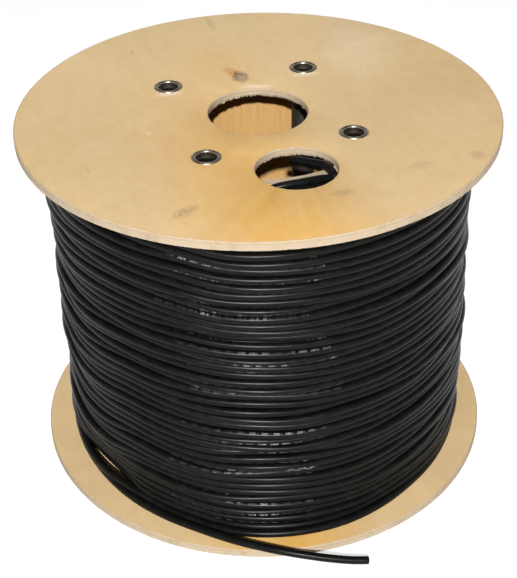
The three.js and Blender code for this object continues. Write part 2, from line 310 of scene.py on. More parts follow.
def birch_veneer(name, offset, marks):
    """offset slides the figure of the wood, so that no two plates are alike."""
    made, add = material(name)
    place = add("TexCoord", out="Object")
    sheet = add("Mapping", {"Vector": place, "Location": offset})
    streak_space = add("Mapping", {"Vector": sheet, "Scale": (1 / STREAK_WIDTH, 1 / STREAK_LENGTH, 1)})
    streaks = add("TexNoise", {"Vector": streak_space, "Scale": 1.0, "Detail": 4.0, "Roughness": 0.6})
    pore_space = add("Mapping", {"Vector": sheet, "Scale": (1 / PORE_WIDTH, 1 / PORE_LENGTH, 1)})
    pores = add("TexNoise", {"Vector": pore_space, "Scale": 1.0, "Detail": 2.0})
    mottle_space = add("Mapping", {"Vector": sheet, "Scale": (1 / MOTTLE_SIZE, 0.5 / MOTTLE_SIZE, 1)})
    mottle = add("TexNoise", {"Vector": mottle_space, "Scale": 1.0, "Detail": 4.0, "Roughness": 0.6})
    patches = add("TexNoise", {"Vector": sheet, "Scale": 1 / PATCH_SIZE, "Detail": 2.0})
    flecks = add("TexNoise", {"Vector": sheet, "Scale": 1 / FLECK_SIZE, "Detail": 1.0})

    across, along, _ = add("SeparateXYZ", {0: place}).node.outputs
    from_middle = add("Math", {0: across, 1: WARM_BAND_MIDDLE}, operation="SUBTRACT")
    distance = add("Math", {0: from_middle}, operation="ABSOLUTE")
    band = add("MapRange", {
        "Value": distance, "From Max": WARM_BAND_HALF_WIDTH, "To Min": 1.0, "To Max": 0.0,
    }, interpolation_type="SMOOTHSTEP")
    nearer = add("MapRange", {
        "Value": along, "From Min": 120 * MM, "From Max": -200 * MM, "To Min": 0.2, "To Max": 1.12,
    }, interpolation_type="SMOOTHSTEP")
    warm = add("Math", {0: band, 1: nearer}, operation="MULTIPLY")
    uneven = add("MapRange", {
        "Value": patches, "From Min": 0.3, "From Max": 0.7, "To Min": 0.74, "To Max": 1.04,
    })
    warmth = add("Math", {0: warm, 1: uneven}, operation="MULTIPLY", use_clamp=True)
    colour = add("Mix", {FACTOR: warmth, FIRST: VENEER_TAN, SECOND: VENEER_WARM}, MIXED, data_type="RGBA")
    # What tints the wood: a pattern, where its tint begins and where it is full, how strong, and its colour.
    tints = [
        (patches, 0.5, 0.75, 0.35, VENEER_PALE),
        # Paler towards the back: partly the wood's own tone, partly painted light against the main lamp's
        # fall-off.
        (along, 0, 170 * MM, 0.9, VENEER_PALE),
        (streaks, 0.48, 0.8, 0.09, VENEER_STREAK),
        (pores, 0.6, 0.8, 0.14, VENEER_STREAK),
        (mottle, 0.5, 0.75, 0.18, VENEER_STREAK),
        (mottle, 0.5, 0.25, 0.2, VENEER_PALE),
        (flecks, 0.73, 0.84, 0.35, KNOT_DARK),
    ]
    for pattern, begin, full, strength, tint in tints:
        share = add("MapRange", {"Value": pattern, "From Min": begin, "From Max": full, "To Max": strength})
        colour = add("Mix", {FACTOR: share, FIRST: colour, SECOND: tint}, MIXED, data_type="RGBA")

    broken = add("TexNoise", {"Vector": place, "Scale": 1 / SCUFF_GRAIN, "Detail": 2.0})
    broken = add("MapRange", {"Value": broken, "From Min": 0.4, "From Max": 0.6, "To Min": 0.35})

    for x, y, length, width, turn, tint, strength in marks:
        centred = add("Mapping", {
            "Vector": place,
            "Location": (x * MM, y * MM, 0),
            "Rotation": (0, 0, np.radians(turn)),
            "Scale": (length * MM, width * MM, 1),
        }, vector_type="TEXTURE")
        flat = add("VectorMath", {0: centred, 1: (1, 1, 0)}, operation="MULTIPLY")
        ragged = add("TexNoise", {"Vector": flat, "Scale": 1.3, "Detail": 3.0})
        from_centre = add("VectorMath", {0: flat}, "Value", operation="LENGTH")
        edge = add("Math", {0: from_centre, 1: ragged}, operation="ADD")
        mask = add("MapRange", {
            "Value": edge, "From Min": 0.7, "From Max": 1.6, "To Min": strength, "To Max": 0.0,
        }, interpolation_type="SMOOTHSTEP")
        mask = add("Math", {0: mask, 1: broken}, operation="MULTIPLY")
        colour = add("Mix", {FACTOR: mask, FIRST: colour, SECOND: tint}, MIXED, data_type="RGBA")

    roughness = add("MapRange", {"Value": streaks, "To Min": 0.68, "To Max": 0.88})
    relief = add("Bump", {"Height": pores, "Strength": 0.2, "Distance": 0.08 * MM})
    shader = add("BsdfPrincipled", {
        "Base Color": colour, "Roughness": roughness, "Specular IOR Level": 0.3, "Normal": relief,
    })
    add("OutputMaterial", {"Surface": shader})
    return made


# Sawn edge of birch plywood: pale cream plies with thin brown glue lines, every other ply end grain, which
# is rougher and a little darker.
PLY_THICKNESS = 1.6 * MM
GLUE_LINE = 0.12
FACE_VENEER_DEPTH = 0.7 * MM
FRAY_WIDTH = 5 * MM
SPECK_SIZE = 1.5 * MM
SOIL_SIZE = 28 * MM
FACE_VENEER_TAN = "#C2A275"
PLY_CREAM = "#CAB69F"
PLY_LONG_GRAIN = "#C6B49A"
PLY_END_GRAIN = "#BCA88B"
PLY_GLUE = "#A88C70"
PLY_SOILED = "#93805F"


def plywood_edge():
    made, add = material("birch_plywood_sawn_edge")
    along = add("UVMap", uv_map="along")
    depth = add("SeparateXYZ", {0: along}, 1)
    ply = add("Math", {0: depth, 1: PLY_THICKNESS}, operation="DIVIDE")
    which = add("Math", {0: ply, 1: 2.0}, operation="MODULO")
    is_end_grain = add("Math", {0: which, 1: 1.0}, operation="GREATER_THAN")
    fraction = add("Math", {0: ply}, operation="FRACT")
    is_glue = add("Math", {0: fraction, 1: GLUE_LINE}, operation="LESS_THAN")
    specks = add("TexNoise", {"Vector": along, "Scale": 1 / SPECK_SIZE, "Detail": 3.0})
    soil = add("TexNoise", {"Vector": along, "Scale": 1 / SOIL_SIZE, "Detail": 5.0, "Roughness": 0.7})
    frayed = add("TexNoise", {"Vector": along, "Scale": 1 / FRAY_WIDTH, "Detail": 3.0})
    frayed = add("MapRange", {
        "Value": frayed,
        "From Min": 0.3,
        "From Max": 0.7,
        "To Min": -0.8 * FACE_VENEER_DEPTH,
        "To Max": 2.2 * FACE_VENEER_DEPTH,
    })
    from_face = add("Math", {0: depth, 1: frayed}, operation="ADD")
    plies = {FACTOR: specks, FIRST: PLY_LONG_GRAIN, SECOND: PLY_END_GRAIN}
    colour = add("Mix", plies, MIXED, data_type="RGBA")
    # As on the veneer: pattern, where its tint begins and where it is full, how strong, and its colour.
    tints = [
        (is_end_grain, 0, 1, 1, PLY_END_GRAIN),
        (is_glue, 0, 1, 0.5, PLY_GLUE),
        (depth, 2 * PLY_THICKNESS, 5 * PLY_THICKNESS, 0.8, PLY_CREAM),
        (soil, 0.52, 0.75, 0.7, PLY_SOILED),
        (from_face, 2 * FACE_VENEER_DEPTH, FACE_VENEER_DEPTH, 1, FACE_VENEER_TAN),
    ]
    for pattern, begin, full, strength, tint in tints:
        share = add("MapRange", {"Value": pattern, "From Min": begin, "From Max": full, "To Max": strength})
        colour = add("Mix", {FACTOR: share, FIRST: colour, SECOND: tint}, MIXED, data_type="RGBA")
    roughness = add("MapRange", {"Value": specks, "To Min": 0.65, "To Max": 0.85})
    relief = add("Bump", {"Height": specks, "Strength": 0.5, "Distance": 0.2 * MM})
    shader = add("BsdfPrincipled", {"Base Color": colour, "Roughness": roughness, "Normal": relief})
    add("OutputMaterial", {"Surface": shader})
    return made


upper_veneer = birch_veneer("birch_veneer_upper_plate", (0, 0, 0), VENEER_MARKS)
lower_veneer = birch_veneer("birch_veneer_lower_plate", (0.31, 0.17, 0), [])
sawn_plies = plywood_edge()


def flange(name, node, veneer, has_start_hole, rivet_face_up, seed):
    """A plate: sawn edges round its outline and its holes, closed by the two veneer faces."""
    rng = np.random.default_rng(seed)
    low, high = (corner.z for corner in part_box(node))
    # Radius, side of the wood, centre, columns, how chipped at the upper and at the lower face, and ease.
    sawn = [
        (FLANGE_RADIUS, 1, (0, 0), 960, (0.5, 0.4), RIM_EASE),
        (SPINDLE_HOLE_RADIUS, -1, (0, 0), 400, (0.3, 0.9), HOLE_EASE),
    ]
    if has_start_hole:
        sawn.append((START_HOLE_RADIUS, -1, START_HOLE_CENTRE, 320, (0.3, 0.8), HOLE_EASE))
    rims = [sawn_edge(rng, low, high, *numbers) for numbers in sawn]
    radii = (RIVET_SEAT_RADIUS, RIVET_HOLE_RADIUS)
    upper, lower = radii if rivet_face_up else radii[::-1]
    seat = high - RIVET_SEAT_DEPTH if rivet_face_up else low + RIVET_SEAT_DEPTH
    bore = [(upper, high), (upper, seat), (lower, seat), (lower, low)]
    rims += [turned(bore, centre, RIVET_COLUMNS, finish=1) for centre in RIVET_CENTRES]
    centres = [numbers[2] for numbers in sawn] + RIVET_CENTRES
    columns = [numbers[3] for numbers in sawn] + [RIVET_COLUMNS] * len(RIVET_CENTRES)
    for row in (0, -1):
        rings = [rim[0].reshape(-1, count, 3)[row] for rim, count in zip(rims, columns)]
        rims = rims + [veneer_face(rings, centres)]
    plate = piece(name, rims, [veneer, sawn_plies], sharp_angle=np.radians(35))
    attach(plate, "root")
    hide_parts(node)


flange("upper_flange_plate", "flange_top", upper_veneer, has_start_hole=True, rivet_face_up=True, seed=3)
flange("lower_flange_plate", "flange_bottom", lower_veneer, has_start_hole=False, rivet_face_up=False, seed=4)

# --------------------------------------------------------------------------------------------------------
# Barrel. A tube bent from three thick plies and glued, whose ends are let 1.5 mm into the flanges. The
# upper end shows as a pale strip in the start hole, and the bore shows through the spindle hole.
# --------------------------------------------------------------------------------------------------------

BARREL_BORE = 101 * MM
BARREL_OUTSIDE = 108.5 * MM
BARREL_EASE = 0.3 * MM

# Rotary-cut veneer bent with its grain upright: deeper honey than the plates, with fine upright pores.
BENT_PALE = "#CDA468"
BENT_DEEP = "#BE9155"
UPRIGHT_STREAK_WIDTH = 1.8 * MM
UPRIGHT_STREAK_LENGTH = 60 * MM


def bent_veneer():
    made, add = material("bent_plywood_veneer")
    along = add("UVMap", uv_map="along")
    stretch = (1 / UPRIGHT_STREAK_WIDTH, 1 / UPRIGHT_STREAK_LENGTH, 1)
    stretched = add("Mapping", {"Vector": along, "Scale": stretch})
    streaks = add("TexNoise", {"Vector": stretched, "Scale": 1.0, "Detail": 4.0, "Roughness": 0.65})
    share = add("MapRange", {"Value": streaks, "From Min": 0.35, "From Max": 0.7})
    colour = add("Mix", {FACTOR: share, FIRST: BENT_PALE, SECOND: BENT_DEEP}, MIXED, data_type="RGBA")
    roughness = add("MapRange", {"Value": streaks, "To Min": 0.55, "To Max": 0.75})
    relief = add("Bump", {"Height": streaks, "Strength": 0.4, "Distance": 0.15 * MM})
    shader = add("BsdfPrincipled", {"Base Color": colour, "Roughness": roughness, "Normal": relief})
    add("OutputMaterial", {"Surface": shader})
    return made


barrel_low, barrel_high = (corner.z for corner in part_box("barrel"))
barrel_surfaces = [
    turned([(radius, barrel_high - BARREL_EASE), (radius, barrel_low + BARREL_EASE)])
    for radius in (BARREL_BORE, BARREL_OUTSIDE)
]
for height, inward in [(barrel_high, 1), (barrel_low, -1)]:
    eased = height - inward * BARREL_EASE
    sawn_end = [
        (BARREL_OUTSIDE, eased),
        (BARREL_OUTSIDE - BARREL_EASE, height),
        (BARREL_BORE + BARREL_EASE, height),
        (BARREL_BORE, eased),
    ]
    barrel_surfaces.append(turned(sawn_end, finish=1))
barrel_finishes = [bent_veneer(), sawn_plies]
bent_tube = piece("bent_plywood_barrel", barrel_surfaces, barrel_finishes, sharp_angle=np.radians(35))
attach(bent_tube, "root")
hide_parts("barrel")

# --------------------------------------------------------------------------------------------------------
# Tube rivets. Four steel tubes that run the full height of the drum inside the barrel. Their ends are
# rolled outwards into a rim, which is pressed part way into the plywood and clamps the drum together.
# --------------------------------------------------------------------------------------------------------

TUBE_BORE = 8.5 * MM
TUBE_OUTSIDE = 10 * MM
RIM_OUTSIDE = 12 * MM
RIM_HEIGHT = 1.6 * MM
RIM_STEPS = 14
TUBE_COLUMNS = 64
rim_low, rim_high = (corner.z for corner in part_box("tube_rivet_1"))

# Steel tube with a thin zinc plating, yellowed with age: the rolled rims are rubbed bright, with a soft
# shine, and the rest of the tube has stayed dull. Its bore is painted dark: painted shade down the long hole.
ZINC = "#BBB1A1"
ZINC_DULL = "#877C6C"
TUBE_DULL = "#5C5650"
# Painted shade for the tube's long, narrow bore.
BORE_PAINTED_SHADE = "#26211D"
RUBBED_LENGTH = 3.5 * MM
DULL_SPOT = 2.5 * MM


def plated_steel():
    made, add = material("zinc_plated_steel")
    place = add("TexCoord", out="Object")
    marks = add("TexNoise", {"Vector": place, "Scale": 1 / DULL_SPOT, "Detail": 4.0})
    colour = add("Mix", {FACTOR: marks, FIRST: ZINC, SECOND: ZINC_DULL}, MIXED, data_type="RGBA")
    height = add("SeparateXYZ", {0: place}, 2)
    middle = (rim_low + rim_high) / 2
    from_middle = add("Math", {0: height, 1: middle}, operation="SUBTRACT")
    from_middle = add("Math", {0: from_middle}, operation="ABSOLUTE")
    rubbed_from = rim_high - middle - RUBBED_LENGTH
    dull = add("MapRange", {
        "Value": from_middle,
        "From Min": rubbed_from - RUBBED_LENGTH,
        "From Max": rubbed_from,
        "To Min": 1.0,
        "To Max": 0.0,
    })
    along = add("UVMap", uv_map="along")
    past_outside = add("SeparateXYZ", {0: along}, 1)
    # The bore is painted dark, as painted shade.
    in_bore = add("Math", {0: past_outside, 1: rim_high - rim_low}, operation="GREATER_THAN")
    tube = add("Mix", {FACTOR: in_bore, FIRST: TUBE_DULL, SECOND: BORE_PAINTED_SHADE}, MIXED, data_type="RGBA")
    colour = add("Mix", {FACTOR: dull, FIRST: colour, SECOND: tube}, MIXED, data_type="RGBA")
    shine = add("MapRange", {"Value": marks, "To Min": 0.26, "To Max": 0.4})
    roughness = add("Math", {0: dull, 1: 0.35, 2: shine}, operation="MULTIPLY_ADD")
    relief = add("Bump", {"Height": marks, "Strength": 0.06, "Distance": 0.03 * MM})
    shader = add("BsdfPrincipled", {
        "Base Color": colour, "Metallic": 1.0, "Roughness": roughness, "Normal": relief,
    })
    add("OutputMaterial", {"Surface": shader})
    return made


def rolled_rim(seat, up):
    """Half an ellipse from the rim's outer edge over its crown to the bore, up or down from its seat."""
    angle = np.linspace(0, np.pi, RIM_STEPS)
    middle = (RIM_OUTSIDE + TUBE_BORE) / 2
    reach = (RIM_OUTSIDE - TUBE_BORE) / 2
    return np.stack([middle + reach * np.cos(angle), seat + up * RIM_HEIGHT * np.sin(angle)], -1)


steel = plated_steel()
lower_seat, upper_seat = rim_low + RIM_HEIGHT, rim_high - RIM_HEIGHT
tube_profile = np.concatenate([
    [(TUBE_OUTSIDE, lower_seat), (TUBE_OUTSIDE, upper_seat)],
    rolled_rim(upper_seat, 1),
    rolled_rim(lower_seat, -1)[::-1],
])
for number, centre in enumerate(RIVET_CENTRES, 1):
    node = f"tube_rivet_{number}"
    tube = turned(tube_profile, centre, TUBE_COLUMNS, wrap_rows=True)
    rivet = piece(f"rolled_tube_{number}", [tube], [steel], sharp_angle=np.radians(50))
    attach(rivet, "root")
    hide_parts(node)

# --------------------------------------------------------------------------------------------------------
# Inner end of the cable. It comes up from the first layer beside the barrel, bends over the barrel's edge
# in the start hole and lies curled inside it, cut off square. Black polyethylene jacket, 6.8 mm.
# --------------------------------------------------------------------------------------------------------

CABLE_RADIUS = 3.4 * MM
CABLE_SIDES = 14
STEP = 2 * MM
FINE_STEPS = 20
JACKET_WALL = 0.9 * MM
CUT_EASE = 0.75 * MM
CUT_BEVEL = 0.3
CUT_RECESS = 0.4 * MM
CORE_PLAY = 0.02 * MM
LYING_HEIGHT = 3.7 * MM

# Extruded black polyethylene: charcoal, with a soft satin shine along each turn, faint lengthwise drag
# lines from the die, and grey dust and scuffs from handling.
JACKET_BLACK = "#0D0D0C"
JACKET_WORN = "#1C1C1B"
DRAG_LINE_WIDTH = 0.5 * MM
DRAG_LINE_LENGTH = 40 * MM
SCUFF_SIZE = 9 * MM


def black_jacket():
    made, add = material("black_polyethylene_jacket")
    along = add("UVMap", uv_map="along")
    stretch = (1 / DRAG_LINE_LENGTH, 1 / DRAG_LINE_WIDTH, 1)
    drag_space = add("Mapping", {"Vector": along, "Scale": stretch})
    drag = add("TexNoise", {"Vector": drag_space, "Scale": 1.0, "Detail": 2.0})
    scuffs = add("TexNoise", {"Vector": along, "Scale": 1 / SCUFF_SIZE, "Detail": 5.0, "Roughness": 0.65})
    worn = add("MapRange", {"Value": scuffs, "From Min": 0.45, "From Max": 0.75, "To Max": 0.7})
    colour = add("Mix", {FACTOR: worn, FIRST: JACKET_BLACK, SECOND: JACKET_WORN}, MIXED, data_type="RGBA")
    roughness = add("MapRange", {
        "Value": scuffs, "From Min": 0.3, "From Max": 0.7, "To Min": 0.27, "To Max": 0.36,
    })
    relief = add("Bump", {"Height": drag, "Strength": 0.3, "Distance": 0.05 * MM})
    shader = add("BsdfPrincipled", {
        "Base Color": colour,
        "Roughness": roughness,
        "IOR": 1.51,
        "Specular IOR Level": 0.12,
        "Normal": relief,
    })
    add("OutputMaterial", {"Surface": shader})
    return made


jacket = black_jacket()


def read_along(at, along, values):
    """Vectors given at the lengths along a line, read off at other lengths of it."""
    return np.stack([np.interp(at, along, axis) for axis in values.T], -1)


def smooth_route(points):
    """A Catmull-Rom curve through the points: between two of them, the cubic whose slope at each is half
    the way from its neighbour before to its neighbour after. Resampled to even steps along its length."""
    points = np.array(points, float)
    padded = np.concatenate([[2 * points[0] - points[1]], points, [2 * points[-1] - points[-2]]])
    before, start, end, after = (padded[k:len(padded) - 3 + k, None] for k in range(4))
    t = np.linspace(0, 1, FINE_STEPS, endpoint=False)[:, None]
    slope_in, slope_out = (end - before) / 2, (after - start) / 2
    cubic = start + t * slope_in
    cubic = cubic + t ** 2 * (3 * (end - start) - 2 * slope_in - slope_out)
    cubic = cubic + t ** 3 * (2 * (start - end) + slope_in + slope_out)
    fine = np.concatenate([cubic.reshape(-1, points.shape[1]), points[-1:]])
    along = lengths(fine)
    even = np.linspace(0, along[-1], int(round(along[-1] / STEP)) + 1)
    return read_along(even, along, fine)


def directions(route):
    """Unit tangents of a route, with the level direction and the upward direction square to them."""
    tangent = np.gradient(route, axis=0)
    tangent /= np.linalg.norm(tangent, axis=1, keepdims=True)
    level = np.cross(tangent, (0, 0, 1))
    level /= np.linalg.norm(level, axis=1, keepdims=True)
    return tangent, level, np.cross(level, tangent)


def swept_round(centres, level, upward, radii, sides=CABLE_SIDES, **options):
    """A round section carried along centres: at each, a ring of the given radius in the plane of its level
    and upward directions. uv is the length along the centres and round the ring."""
    angle = np.arange(sides) * TURN / sides
    ring = np.cos(angle)[:, None] * level[:, None] + np.sin(angle)[:, None] * upward[:, None]
    points = centres[:, None] + np.asarray(radii)[:, None, None] * ring
    round_ring = np.arange(sides + 1) * TURN / sides * CABLE_RADIUS
    uv = np.stack(np.broadcast_arrays(lengths(centres)[:, None], round_ring), -1)
    return grid(points, uv, wrap_columns=True, **options)


def cut_cable(name, route):
    """A length of cable: its jacket closed flat at the start, and at the far end a cut with an eased lip
    and a recess as deep as CUT_RECESS where the core shows."""
    tangent, level, upward = directions(route)
    bore = CABLE_RADIUS - JACKET_WALL
    back = np.array([CUT_EASE, CUT_EASE * CUT_BEVEL, 0, 0, CUT_RECESS, CUT_RECESS])
    lip = [CABLE_RADIUS, CABLE_RADIUS - CUT_EASE * CUT_BEVEL, CABLE_RADIUS - CUT_EASE, bore, bore, 0]
    tip = route[-1] - back[:, None] * tangent[-1]
    centres = np.concatenate([route[:1], route[:-1], tip])
    radii = [0] + [CABLE_RADIUS] * (len(route) - 1) + lip
    rows = [0, *range(len(route) - 1)] + [-1] * len(tip)
    tube = swept_round(centres, level[rows], upward[rows], radii)
    return piece(name, [tube], [jacket], sharp_angle=np.radians(50))


# Cut face of the core: foamed white polyethylene round a bright copper wire, in a ring of braid ends.
FOAM_WHITE = "#E9E6DE"
COPPER = "#B87349"
BRAID = "#A7A9AC"
FOAM_RADIUS = 2.1 * MM
WIRE_RADIUS = 0.5 * MM
CORE_GRIT = 0.4 * MM
GRIT_SHADE = 0.7
CORE_SIDES = 24
# How far each part of the core stands out of the jacket's recess.
BRAID_PROUD = 0.12 * MM
FOAM_PROUD = 0.2 * MM
WIRE_PROUD = 0.45 * MM


def core_material(name, colour, metallic, roughness):
    """One part of the cut face, its colour mottled by the grit that the cutting blade leaves."""
    made, add = material(name)
    place = add("TexCoord", out="Object")
    grit = add("TexNoise", {"Vector": place, "Scale": 1 / CORE_GRIT, "Detail": 2.0})
    darker = tuple(GRIT_SHADE * value for value in linear(colour)[:3]) + (1.0,)
    mixed = add("Mix", {FACTOR: grit, FIRST: colour, SECOND: darker}, MIXED, data_type="RGBA")
    rough = add("MapRange", {"Value": grit, "To Min": roughness - 0.1, "To Max": roughness + 0.1})
    relief = add("Bump", {"Height": grit, "Strength": 0.4, "Distance": 0.05 * MM})
    shader = add("BsdfPrincipled", {
        "Base Color": mixed, "Metallic": metallic, "Roughness": rough, "Normal": relief,
    })
    add("OutputMaterial", {"Surface": shader})
    return made


def cut_core(name, route):
    """The core's cut face inside the jacket: concentric rings for braid, foam and wire, set at the tip, and
    a flat back. Each ring is a round section of three steps, from its outer edge to its middle."""
    tangent, level, upward = (np.repeat(values[-1:], 3, 0) for values in directions(route))
    bore = CABLE_RADIUS - JACKET_WALL - CORE_PLAY
    base = CUT_RECESS - CORE_PLAY
    braid, foam, wire = (base - proud for proud in (BRAID_PROUD, FOAM_PROUD, WIRE_PROUD))
    # The radii, how far back from the tip, and the finish.
    rings = [
        ((bore, bore, FOAM_RADIUS), (base, braid, braid), 0),
        ((FOAM_RADIUS, FOAM_RADIUS, WIRE_RADIUS), (braid, foam, foam), 1),
        ((WIRE_RADIUS, WIRE_RADIUS, 0), (foam, wire, wire), 2),
        ((bore, 0, 0), (base, base, base), 0),
    ]
    surfaces = []
    for radii, back, finish in rings:
        centres = route[-1] - np.array(back)[:, None] * tangent
        surfaces.append(swept_round(centres, level, upward, radii, CORE_SIDES, finish=finish))
    return piece(name, surfaces, core_finishes, sharp_angle=np.radians(35))


core_finishes = [
    core_material("braid_wire_ends", BRAID, 1.0, 0.4),
    core_material("foamed_polyethylene", FOAM_WHITE, 0.0, 0.6),
    core_material("copper_wire", COPPER, 1.0, 0.3),
]

INNER_END_BASE = barrel_high + LYING_HEIGHT
INNER_END_ROUTE = [
    (0.0260, -0.1109, -0.0018),
    (0.0256, -0.1079, -0.0008),
    (0.0249, -0.1049, 0),
    (0.0238, -0.1020, 0.0004),
    (0.0224, -0.0993, 0.0005),
    (0.0207, -0.0967, 0.0004),
    (0.0189, -0.0942, 0),
    (0.0171, -0.0917, -0.0005),
    (0.0153, -0.0892, -0.0010),
    (0.0135, -0.0867, -0.0015),
    (0.0117, -0.0843, -0.0020),
    (0.0099, -0.0818, -0.0025),
    (0.0081, -0.0793, -0.0031),
    (0.0063, -0.0768, -0.0037),
    (0.0045, -0.0743, -0.0043),
]


def free_end(name, node, points, base):
    """A free end of the cable with its cut core, at its measured length."""
    route = smooth_route(points) + (0, 0, base)
    cable = cut_cable(name, route)
    core = cut_core(name + "_cut_core", route)
    for part in (cable, core):
        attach(part, "root")
    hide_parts(node)
    return route


inner_route = free_end("inner_end_of_cable", "cable_inner_end", INNER_END_ROUTE, INNER_END_BASE)

# --------------------------------------------------------------------------------------------------------
# Outer end of the cable. It peels off the lowest turn, crosses the lower flange and comes down over the
# flange's edge to the floor, where it is cut off.
# --------------------------------------------------------------------------------------------------------

lower_flange_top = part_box("flange_bottom")[1].z
upper_flange_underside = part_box("flange_top")[0].z
OUTER_END_BASE = lower_flange_top + LYING_HEIGHT
OUTER_END_ROUTE = [
    (-0.1240, -0.1332, 0),
    (-0.1186, -0.1391, 0),
    (-0.1130, -0.1449, 0),
    (-0.1048, -0.1531, 0),
    (-0.0967, -0.1610, 0),
    (-0.0885, -0.1686, 0),
    (-0.0803, -0.1758, 0),
    (-0.0720, -0.1824, 0),
    (-0.0636, -0.1886, 0),
    (-0.0551, -0.1944, -0.0002),
    (-0.0464, -0.1996, -0.0007),
    (-0.0376, -0.2042, -0.0015),
    (-0.0286, -0.2083, -0.0026),
    (-0.0196, -0.2120, -0.0039),
    (-0.0104, -0.2154, -0.0052),
    (-0.0011, -0.2185, -0.0065),
    (0.0083, -0.2212, -0.0077),
    (0.0198, -0.2239, -0.0087),
]
outer_route = free_end("outer_end_of_cable", "cable_outer_end", OUTER_END_ROUTE, OUTER_END_BASE)

# --------------------------------------------------------------------------------------------------------
# Winding. One cable laid in turns, layer on layer. The outside layer is drawn as one continuous tube of
# 42 turns that ends where the outer end peels off. Under it is a turned core whose outside and two end
# faces show the turns of the layers below.
# --------------------------------------------------------------------------------------------------------

WINDING_SEED = 11
TURNS = 42
COLUMNS = 144
CABLE_DIAMETER = 2 * CABLE_RADIUS
LAY_RADIUS = 174.6 * MM
PROUD_RMS = 1.15 * MM
LAYER_SIDES = 12
# A turn sinks where slow noise stands above SUNK_LEVEL.
SUNK_DEPTH = 3.4 * MM
SUNK_LEVEL = 1.2
SUNK_WAVES = 3
MOST_SUNK = 1.5
# The top turn comes up out of the layers below, between these two degrees round from its start.
START_DEPTH = 8.5 * MM
START_RISES, START_RISEN = 2, 24
GAP_CONTRAST = 0.9
GAP_WAVES = 2
# The last turn but one lies out at least so far that the lowest can hold it up, in cable diameters.
MOST_OVERHANG = 0.95
TOP_TURN = upper_flange_underside - 3.0 * MM - CABLE_RADIUS
LOWEST_TURN = OUTER_END_BASE
# A stiff cable evens out its own line: the spread and the reach of that, in columns.
STIFF_SPREAD = 1.6
STIFF_REACH = 6
STIFF_PADDING = 12
# The outer end's route has steps about a fourth as long as the columns.
PEEL_STRIDE = 4

peel_angle = np.arctan2(outer_route[0, 1], outer_route[0, 0])
peel_radius = float(np.hypot(*outer_route[0, :2]))

# The lowest turn lies on the flange. From the peel, by degrees round it: its centreline's radius in mm. It
# springs out at the front, comes back against the layer, and leaves it again as the outer end.
LOWEST_TURN_LINE = [
    (0, 174.6), (6, 177.0), (12, 181.0), (20, 184.2), (32, 185.2), (45, 184.4), (58, 180.6), (70, 176.6),
    (90, 174.8), (150, 174.6), (220, 174.4), (280, 173.6), (315, 173.2), (326, 173.9), (335, 175.4),
    (343, 177.5), (351, 179.8), (360, peel_radius / MM),
]

# Where the layer is fuller or slacker: row angle and height of the middle, rise, half width and half height.
SWELLS = [
    (343, 100, 3.2, 40, 45),
    (163, 92, -2.4, 40, 40),
    (150, 268, 2.6, 45, 35),
    (163, 195, -2.0, 60, 30),
    (253, 60, 1.2, 50, 40),
]

# At the left, the turns above the two lowest have sunk into the layer below, so that the flange shows
# through behind the two, and the upper of the two leans out: from and to, by degrees round from the peel,
# and how deep each turn has sunk, down to the last but one.
DENT_START, DENT_FULL, DENT_PAST, DENT_END = 313, 328, 338, 350
DENT_DEPTHS = np.array([1.5, 3.2, 5.4, 8.0, 10.2, -2.4]) * MM


def swell(angle, height):
    """The sum of smooth humps: each falls off as a bell with the angle and the height from its middle."""
    total = 0
    for middle, level, rise, width, depth in SWELLS:
        off = (np.degrees(angle) - middle + 180) % 360 - 180
        total = total + rise * MM * np.exp(-(off / width) ** 2 - ((height / MM - level) / depth) ** 2)
    return total


def smooth_step(value, start, end):
    """Nought before start and one past end, with the cubic 3 t^2 - 2 t^3 between."""
    t = np.clip((value - start) / (end - start), 0, 1)
    return t ** 2 * (3 - 2 * t)


def dented(angle):
    """How far a column lies inside the dent, from nought to one, by its angle from the peel."""
    degrees = np.degrees(angle)
    return smooth_step(degrees, DENT_START, DENT_FULL) * (1 - smooth_step(degrees, DENT_PAST, DENT_END))


